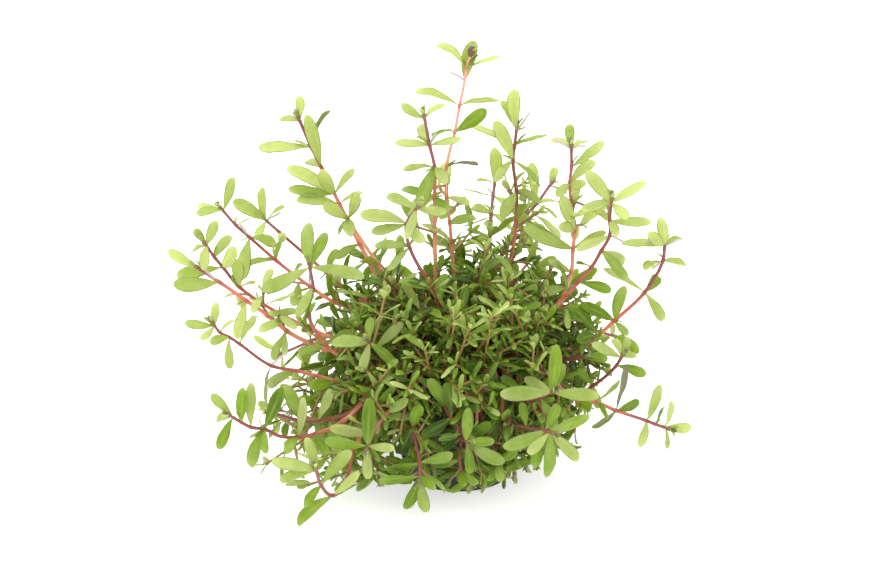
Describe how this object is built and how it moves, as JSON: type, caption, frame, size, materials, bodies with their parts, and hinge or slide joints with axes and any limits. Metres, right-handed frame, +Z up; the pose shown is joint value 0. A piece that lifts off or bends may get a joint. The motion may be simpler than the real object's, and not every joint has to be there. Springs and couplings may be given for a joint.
{
  "type": "potted aquarium plant",
  "caption": "Bushy clump of thin reddish stems with small oval yellow-green leaves in opposite pairs, spreading from rock wool in a small black tapered pot.",
  "frame": {"origin": "the middle of the pot's flat underside, where the plant stands", "axes": "+Z up, the clump's front, which the picture shows, looks along -Y, +X to the right of that view"},
  "size_m": [0.1522, 0.1228, 0.1333],
  "materials": {
    "pot_plastic": "black moulded plastic, satin",
    "rock_wool": "damp mineral wool, fibrous, matt",
    "shoot_light": "young leaves, light yellow-green, semi-gloss, on pink to red stems",
    "shoot_mid": "grown leaves, mid green, semi-gloss, on orange-red stems",
    "shoot_deep": "shaded leaves, deep green, semi-gloss, on red stems"
  },
  "bodies": {
    "root": {"pot": "pot_plastic", "rock_wool": "rock_wool", "shoot_back_01": "shoot_deep", "shoot_back_02": "shoot_deep", "shoot_back_03": "shoot_deep", "shoot_back_04": "shoot_deep", "shoot_back_05": "shoot_deep", "shoot_back_06": "shoot_deep", "shoot_back_07": "shoot_deep", "shoot_back_08": "shoot_deep", "shoot_back_09": "shoot_deep", "shoot_behind_middle": "shoot_deep", "shoot_behind_middle_left": "shoot_deep", "shoot_behind_middle_right": "shoot_deep", "shoot_behind_right": "shoot_deep", "shoot_crown": "shoot_light", "shoot_crown_left": "shoot_light", "shoot_far_left": "shoot_light", "shoot_far_left_low": "shoot_mid", "shoot_far_left_upper": "shoot_light", "shoot_far_right_low": "shoot_mid", "shoot_front_foot": "shoot_mid", "shoot_front_left": "shoot_mid", "shoot_front_left_low": "shoot_mid", "shoot_front_low": "shoot_mid", "shoot_front_middle": "shoot_mid", "shoot_front_right": "shoot_mid", "shoot_front_right_foot": "shoot_mid", "shoot_front_right_low": "shoot_mid", "shoot_high_back": "shoot_light", "shoot_high_back_right": "shoot_light", "shoot_inner_front": "shoot_deep", "shoot_inner_front_left": "shoot_deep", "shoot_inner_front_right": "shoot_deep", "shoot_inner_left": "shoot_deep", "shoot_inner_middle": "shoot_deep", "shoot_inner_right": "shoot_deep", "shoot_left_crown": "shoot_light", "shoot_left_crown_low": "shoot_light", "shoot_left_front": "shoot_mid", "shoot_left_high": "shoot_light", "shoot_left_high_back": "shoot_light", "shoot_left_low": "shoot_mid", "shoot_left_low_inner": "shoot_mid", "shoot_left_middle": "shoot_mid", "shoot_left_of_crown": "shoot_mid", "shoot_right_high": "shoot_light", "shoot_right_inner": "shoot_mid", "shoot_right_low": "shoot_mid", "shoot_right_of_crown": "shoot_light", "shoot_right_shoulder": "shoot_light", "shoot_right_tall": "shoot_light"}
  },
  "joints": []
}
